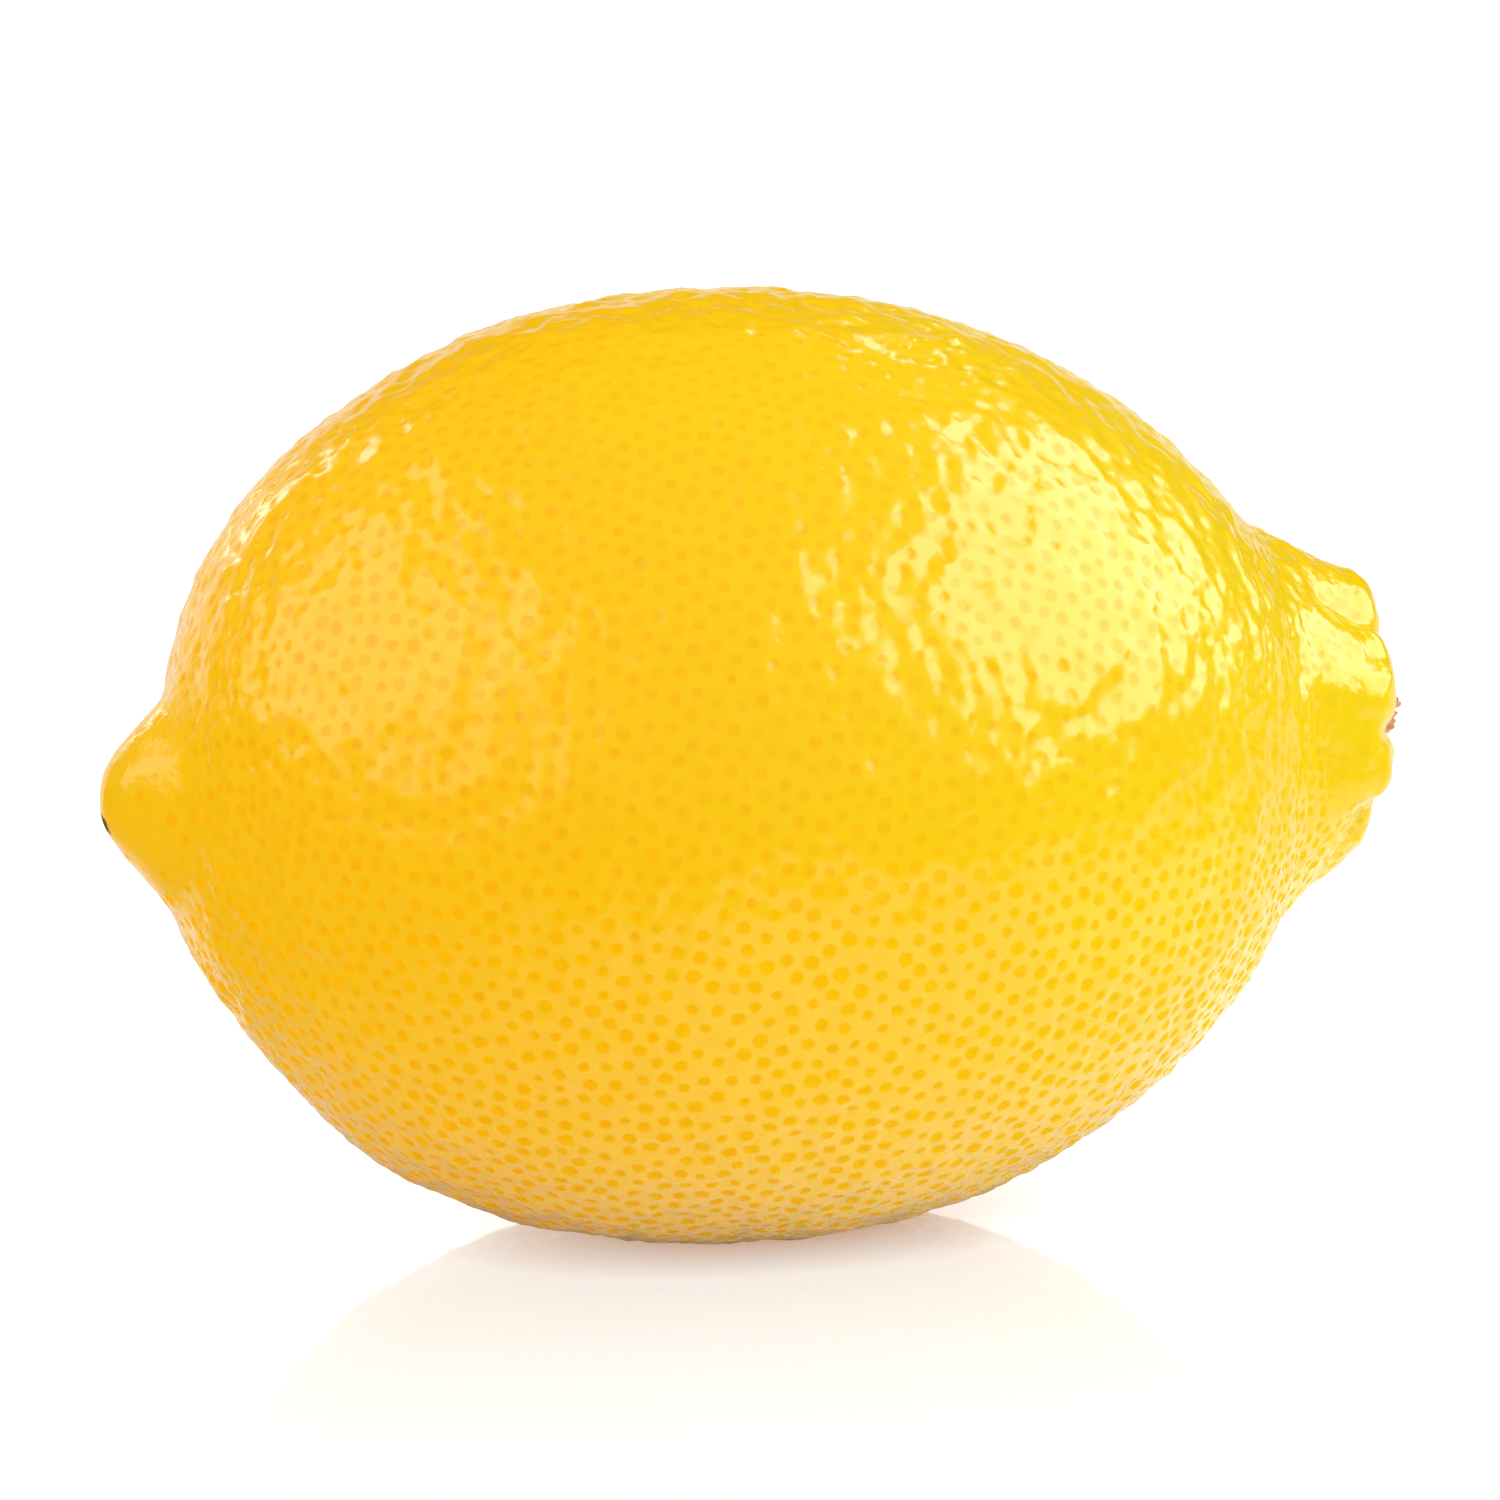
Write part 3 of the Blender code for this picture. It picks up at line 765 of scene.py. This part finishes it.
def make_button(skin, finish):
    """A dry disc of five sepals with a fibrous stub that snapped off ragged."""
    outline = button_outline()
    rows, columns = len(outline), BUTTON_COLUMNS
    x, radius, lobed, fibrous = (outline[:, i][:, None] for i in range(4))
    angle = (2.0 * np.pi * np.arange(columns) / columns)[None, :]
    end = STUB_TIP_X - STUB_SLANT
    fibre, ragged, crumple = button_noise(x[:, 0], radius[:, 0], angle[0])
    wave = lobed * BUTTON_LOBE_DEPTH * np.cos(BUTTON_LOBES * angle + 0.5)
    out = radius * (1.0 + wave) * (1.0 + 0.07 * fibrous * fibre)
    out = out + BUTTON_CRUMPLE * crumple * np.clip(radius / BUTTON_RADIUS, 0.0, 1.0) * lobed
    at_end = smooth_step(x, 42.6 * MM, end)
    rim_only = smooth_step(radius, 0.3 * STUB_RADIUS, 0.9 * STUB_RADIUS)
    slant = STUB_SLANT * np.sin(angle) * smooth_step(x, 42.5 * MM, 44.0 * MM)
    along = x + slant + at_end * rim_only * (STUB_RAGGED * ragged + 0.06 * MM * fibre)
    along = along + 0.10 * MM * crumple * lobed * smooth_step(x, 39.9 * MM, 40.4 * MM)
    sag = STUB_SAG * smooth_step(x, 41.0 * MM, 44.0 * MM)
    height = out * np.sin(angle) + centre_height(HOLLOW_FLOOR_X) - sag
    points = np.stack([np.minimum(along, STUB_TIP_X), -out * np.cos(angle), height], axis=-1)
    points = points.reshape(-1, 3)
    middle = np.array([points[:columns].mean(axis=0), points[-columns:].mean(axis=0)])
    index = np.arange(rows * columns).reshape(rows, columns)
    following = np.roll(index, -1, axis=1)
    quads = np.stack([index[:-1], index[1:], following[1:], following[:-1]], axis=-1)
    faces = quads.reshape(-1, 4).tolist()
    for j in range(columns):
        faces.append((index[0, j], index[0, (j + 1) % columns], rows * columns))
        faces.append((index[-1, (j + 1) % columns], index[-1, j], rows * columns + 1))
    mesh = bpy.data.meshes.new("dry_stem_button")
    mesh.from_pydata((np.concatenate([points, middle]) + skin.shift).tolist(), [], faces)
    mesh.materials.append(finish)
    mesh.shade_smooth()
    set_values(mesh, "fibre", np.append(fibre.ravel(), [0.0, 0.0]))
    button = bpy.data.objects.new("dry_stem_button", mesh)
    bpy.context.scene.collection.objects.link(button)
    return button


# ---------------------------------------------------------------- materials

def grain_group():
    """Fine grain for a finish: the grain itself, and its height for a bump."""
    tree = bpy.data.node_groups.new("fine_grain", "ShaderNodeTree")
    tree.interface.new_socket("Vector", in_out="INPUT", socket_type="NodeSocketVector")
    for label in ("Scale", "Detail", "Depth"):
        tree.interface.new_socket(label, in_out="INPUT", socket_type="NodeSocketFloat")
    for label in ("Grain", "Height"):
        tree.interface.new_socket(label, in_out="OUTPUT", socket_type="NodeSocketFloat")
    given = tree.nodes.new("NodeGroupInput").outputs
    result = tree.nodes.new("NodeGroupOutput")
    grain = noise_node(tree, given["Vector"], given["Scale"], given["Detail"])
    tree.links.new(grain, result.inputs["Grain"])
    tree.links.new(math_node(tree, "MULTIPLY", grain, given["Depth"]), result.inputs["Height"])
    return tree


def grain_node(tree, group, vector, scale, detail, depth):
    """Places the grain group in a finish."""
    node = add_node(tree, "ShaderNodeGroup", {
        "Vector": vector, "Scale": scale, "Detail": detail, "Depth": depth}, node_tree=group)
    return node.outputs


def new_material(name):
    """A material with its node tree and its Principled shader, joined to the output."""
    material = bpy.data.materials.new(name)
    material.use_nodes = True
    tree = material.node_tree
    tree.nodes.clear()
    shader = tree.nodes.new("ShaderNodeBsdfPrincipled")
    output = tree.nodes.new("ShaderNodeOutputMaterial")
    tree.links.new(shader.outputs[0], output.inputs["Surface"])
    return material, tree, shader


def peel_finish(skin, fine_grain):
    """Yellow peel under a thin coat of wax, which is missing in the gland pits."""
    material, tree, shader = new_material("waxy_lemon_peel")
    position = add_node(tree, "ShaderNodeTexCoord").outputs["Object"]
    middle = add_node(tree, "ShaderNodeAttribute", attribute_name="gland_middle").outputs["Vector"]
    reach = add_node(tree, "ShaderNodeAttribute", attribute_name="gland_reach").outputs["Fac"]
    away = math_node(tree, "DIVIDE", vector_node(tree, "DISTANCE", position, middle), reach)
    parts = add_node(tree, "ShaderNodeSeparateXYZ", {0: position}).outputs
    along, up = parts[0], parts[2]
    broad = noise_node(tree, position, 60.0, 2.0)
    fine = noise_node(tree, position, 900.0, 2.0)
    ragged = math_node(tree, "ADD", away, ramp_linear(tree, fine, 0.3, 0.7, -0.15, 0.15))
    spot = ramp_node(tree, ragged, 1.05, 0.68)

    towards_stem = ramp_node(tree, along, -0.032, 0.036)
    colour = mix_colour(tree, towards_stem, *PEEL_YELLOW)
    patches = ramp_node(tree, broad, 0.35, 0.65, 0.0, 0.35)
    colour = mix_colour(tree, patches, colour, PATCH_YELLOW)
    tip = skin.shift + place_on_axis(NIPPLE_TIP_X)
    olive = math_node(tree, "MULTIPLY", ramp_node(tree, along, tip[0] + 4.5 * MM, tip[0]),
                      ramp_node(tree, up, tip[2] - 1.0 * MM, tip[2] + 4.0 * MM, 0.05, 0.45))
    colour = mix_colour(tree, olive, colour, NIPPLE_OLIVE)
    tint = math_node(tree, "MULTIPLY", spot, ramp_node(tree, fine, 0.3, 0.7, 0.4, 0.9))
    colour = mix_colour(tree, tint, colour, mix_colour(tree, towards_stem, *GLAND_YELLOW))
    scar = vector_node(tree, "DISTANCE", position, tip + np.array([0.3, -0.3, -1.3]) * MM)
    scar = math_node(tree, "ADD", scar, ramp_linear(tree, fine, 0.3, 0.7, -0.0003, 0.0003))
    scarred = ramp_node(tree, scar, 0.0009, 0.0005)
    colour = mix_colour(tree, scarred, colour, SCAR_BROWN)
    tree.links.new(colour, shader.inputs["Base Color"])

    shader.inputs["Roughness"].default_value = 0.45
    shader.inputs["Specular IOR Level"].default_value = 0.0
    shader.inputs["Coat Roughness"].default_value = 0.18
    shader.inputs["Coat IOR"].default_value = 1.46
    bare = math_node(tree, "MULTIPLY", ramp_node(tree, up, 0.038, 0.027, 0.3, 0.9),
                     ramp_node(tree, along, 0.039, 0.034, 0.5, 1.0))
    wax = math_node(tree, "SUBTRACT", 1.0, math_node(tree, "MULTIPLY", spot, bare))
    wax = math_node(tree, "MULTIPLY", wax, math_node(tree, "SUBTRACT", 1.0, scarred))
    tree.links.new(wax, shader.inputs["Coat Weight"])
    at_ends = math_node(tree, "ADD", ramp_node(tree, along, 0.032, 0.036, 0.0, 0.060 * MM),
                        ramp_node(tree, along, -0.034, -0.038, 0.0, 0.050 * MM))
    depth = math_node(tree, "ADD", at_ends, 0.008 * MM)
    height = grain_node(tree, fine_grain, position, 1500.0, 2.0, depth)["Height"]
    bump = add_node(tree, "ShaderNodeBump", {"Strength": 1.0, "Distance": 1.0, "Height": height})
    tree.links.new(bump.outputs[0], shader.inputs["Normal"])
    tree.links.new(bump.outputs[0], shader.inputs["Coat Normal"])
    return material


def stem_finish(fine_grain):
    """Dry grey-brown wood, paler on the broken fibres of the stub."""
    material, tree, shader = new_material("dry_stem_wood")
    position = add_node(tree, "ShaderNodeTexCoord").outputs["Object"]
    along = add_node(tree, "ShaderNodeSeparateXYZ", {0: position}).outputs[0]
    fibre = add_node(tree, "ShaderNodeAttribute", attribute_name="fibre").outputs["Fac"]
    drawn_out = vector_node(tree, "MULTIPLY", position, (0.25, 1.0, 1.0))
    drawn = grain_node(tree, fine_grain, drawn_out, 4200.0, 3.0, 0.05 * MM)
    specks = grain_node(tree, fine_grain, position, 1500.0, 3.0, 0.05 * MM)
    grain, speck = drawn["Grain"], specks["Grain"]
    light = math_node(tree, "ADD", ramp_linear(tree, fibre, -0.5, 0.5, 0.0, 0.5),
                      ramp_linear(tree, grain, 0.3, 0.7, 0.0, 0.5))
    stub = mix_colour(tree, light, *STUB_WOOD)
    disc = mix_colour(tree, ramp_linear(tree, speck, 0.35, 0.65), *DISC_WOOD)
    on_stub = ramp_node(tree, along, 0.0386, 0.0402)
    tree.links.new(mix_colour(tree, on_stub, disc, stub), shader.inputs["Base Color"])
    tree.links.new(ramp_linear(tree, grain, 0.3, 0.7, 0.7, 0.95), shader.inputs["Roughness"])
    height = math_node(tree, "ADD", drawn["Height"], specks["Height"])
    bump = add_node(tree, "ShaderNodeBump", {"Strength": 1.0, "Distance": 1.0, "Height": height})
    tree.links.new(bump.outputs[0], shader.inputs["Normal"])
    shader.inputs["Specular IOR Level"].default_value = 0.1
    return material


def floor_finish():
    """White gloss table with painted light and shade: to the eye a painted contact shadow under
    the fruit, and in gloss a painted patch of light with the fruit's painted shadow, which the
    peel reflects.
    """
    material, tree, shader = new_material("white_table_painted_light_and_shade")
    path = add_node(tree, "ShaderNodeLightPath").outputs
    seen = path["Is Camera Ray"]
    tree.links.new(mix_colour(tree, seen, TABLE_MATT, BLACK), shader.inputs["Base Color"])
    shader.inputs["Roughness"].default_value = 0.06
    place = add_node(tree, "ShaderNodeTexCoord").outputs["Object"]
    parts = add_node(tree, "ShaderNodeSeparateXYZ", {0: place}).outputs

    # To the eye the table glows white, and dark only where the fruit touches it: a painted contact
    # shadow with painted warm shade round it
    under = vector_node(tree, "LENGTH", vector_node(tree, "MULTIPLY", place, (0.55, 1.0, 0.0)))
    white = mix_colour(tree, ramp_linear(tree, under, 0.003, 0.013), TABLE_PAINTED_CONTACT_SHADOW, TABLE_PAINTED_WARM_SHADE)
    white = mix_colour(tree, ramp_linear(tree, under, 0.013, 0.045), white, TABLE_WHITE)
    tree.links.new(white, shader.inputs["Emission Color"])
    tree.links.new(seen, shader.inputs["Emission Strength"])

    # In gloss it glows with painted light, brightest at the front and to the right, falling off
    # fast to the left where it paints the fruit's shadow, and white again behind
    right = math_node(tree, "MAXIMUM", 0.0, math_node(tree, "SUBTRACT", parts[0], 0.03))
    right = math_node(tree, "DIVIDE", right, 0.25)
    left = math_node(tree, "MAXIMUM", 0.0, math_node(tree, "SUBTRACT", 0.03, parts[0]))
    left = math_node(tree, "DIVIDE", left, 0.11)
    front = math_node(tree, "DIVIDE", math_node(tree, "SUBTRACT", parts[1], -0.04), 0.26)
    across = math_node(tree, "ADD", math_node(tree, "POWER", right, 2.0),
                       math_node(tree, "POWER", left, 2.0))
    far = math_node(tree, "SQRT", math_node(tree, "ADD", across,
                    math_node(tree, "MULTIPLY", front, front)))
    painted_light = ramp_node(tree, far, 1.0, 0.15, 0.0, 1.45)
    aside = math_node(tree, "ADD", parts[0], math_node(tree, "MULTIPLY", parts[1], 0.8))
    back = math_node(tree, "MULTIPLY", ramp_node(tree, parts[1], 0.006, 0.035, 0.0, 0.95),
                     ramp_node(tree, aside, -0.07, -0.02))
    painted_light = math_node(tree, "MAXIMUM", painted_light, back)
    # Painted shade in the table's gloss near where the fruit touches it
    painted_light = math_node(tree, "MULTIPLY", painted_light, ramp_node(tree, under, 0.004, 0.026, 0.15, 1.0))
    glow = add_node(tree, "ShaderNodeEmission", {"Strength": painted_light})
    choice = add_node(tree, "ShaderNodeMixShader", {
        0: path["Is Glossy Ray"], 1: shader.outputs[0], 2: glow.outputs[0]})
    output = [node for node in tree.nodes if node.bl_idname == "ShaderNodeOutputMaterial"][0]
    tree.links.new(choice.outputs[0], output.inputs["Surface"])
    return material


# ---------------------------------------------------------------- studio

def direction(azimuth, elevation):
    """Unit vector: the azimuth starts at -Y and goes towards +X."""
    a, e = math.radians(azimuth), math.radians(elevation)
    return Vector((math.sin(a) * math.cos(e), -math.cos(a) * math.cos(e), math.sin(e)))


def soft_box(name, azimuth, elevation, wide, high, radiance, distance=0.7):
    """A soft light round the fruit that only glossy surfaces see; wide and high in degrees."""
    light = bpy.data.lights.new(name, "AREA")
    light.shape = "RECTANGLE"
    light.size = 2.0 * distance * math.tan(math.radians(0.5 * wide))
    light.size_y = 2.0 * distance * math.tan(math.radians(0.5 * high))
    light.energy = 4.0 * light.size * light.size_y * radiance
    item = bpy.data.objects.new(name, light)
    bpy.context.scene.collection.objects.link(item)
    towards = direction(azimuth, elevation)
    item.location = Vector((0.0, 0.0, 31.0 * MM)) + distance * towards
    item.rotation_mode = "QUATERNION"
    item.rotation_quaternion = towards.to_track_quat("Z", "Y")
    item.visible_camera = False
    item.visible_diffuse = False
    return item


def make_lights(floor):
    """The soft lights, and a backdrop that only the table's gloss sees."""
    for name, values in SOFT_LIGHTS.items():
        soft_box(name, *values)
    backdrop = soft_box("backdrop", *BACKDROP, BACKDROP_DISTANCE)
    seen_by = bpy.data.collections.new("backdrop_receivers")
    seen_by.objects.link(floor)
    backdrop.light_linking.receiver_collection = seen_by


def make_world():
    """White to the eye, soft light to matt surfaces, and a low white wall behind in gloss."""
    world = bpy.data.worlds.new("white_studio")
    world.use_nodes = True
    tree = world.node_tree
    tree.nodes.clear()
    towards = add_node(tree, "ShaderNodeTexCoord").outputs["Generated"]
    parts = add_node(tree, "ShaderNodeSeparateXYZ", {0: towards}).outputs
    behind = ramp_node(tree, parts[1], 0.70, 0.90)
    low = ramp_node(tree, parts[2], 0.28, 0.05)
    glossy = math_node(tree, "MULTIPLY", math_node(tree, "MULTIPLY", behind, low), 0.9)
    key_side = vector_node(tree, "DOT_PRODUCT", towards, direction(80.0, 36.0))
    matt = math_node(tree, "ADD", ramp_linear(tree, key_side, -1.0, 1.0, 1.34, 1.40),
                     ramp_linear(tree, parts[2], 0.0, 1.0, 0.0, 0.40))
    path = add_node(tree, "ShaderNodeLightPath").outputs
    strength = add_node(tree, "ShaderNodeMix", {
        0: path["Is Glossy Ray"], 2: matt, 3: glossy}, data_type="FLOAT").outputs[0]
    strength = math_node(tree, "MAXIMUM", strength, path["Is Camera Ray"])
    shade = add_node(tree, "ShaderNodeBackground", {"Strength": strength})
    output = add_node(tree, "ShaderNodeOutputWorld")
    tree.links.new(shade.outputs[0], output.inputs["Surface"])
    bpy.context.scene.world = world


def make_floor():
    side, height = 3.0, -0.02 * MM
    corners = np.array([(-side, -side, height), (side, -side, height), (side, side, height),
                        (-side, side, height)])
    floor = new_object("floor", corners, np.array([[0, 1, 2, 3]]))
    floor.data.materials.append(floor_finish())
    return floor


def make_camera():
    data = bpy.data.cameras.new("camera")
    data.sensor_width = 36.0
    data.lens = 36.0 * VIEW_DISTANCE / VIEW_WIDTH
    data.clip_start = 0.01
    camera = bpy.data.objects.new("camera", data)
    camera.rotation_euler = (0.5 * math.pi - VIEW_ELEVATION, 0.0, VIEW_AZIMUTH)
    look = Vector((-math.sin(VIEW_AZIMUTH) * math.cos(VIEW_ELEVATION),
                   math.cos(VIEW_AZIMUTH) * math.cos(VIEW_ELEVATION), -math.sin(VIEW_ELEVATION)))
    camera.location = VIEW_AIM - VIEW_DISTANCE * look
    bpy.context.scene.collection.objects.link(camera)
    bpy.context.scene.camera = camera


def main():
    scene = bpy.context.scene
    scene.view_settings.view_transform = "Standard"
    make_camera()
    make_world()
    floor = make_floor()
    make_lights(floor)
    skin = Skin()
    grain = grain_group()
    peel = make_peel(skin, peel_finish(skin, grain))
    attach(peel, "root")
    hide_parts("fruit")
    button = make_button(skin, stem_finish(grain))
    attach(button, "root")
    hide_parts("stem_button")


main()
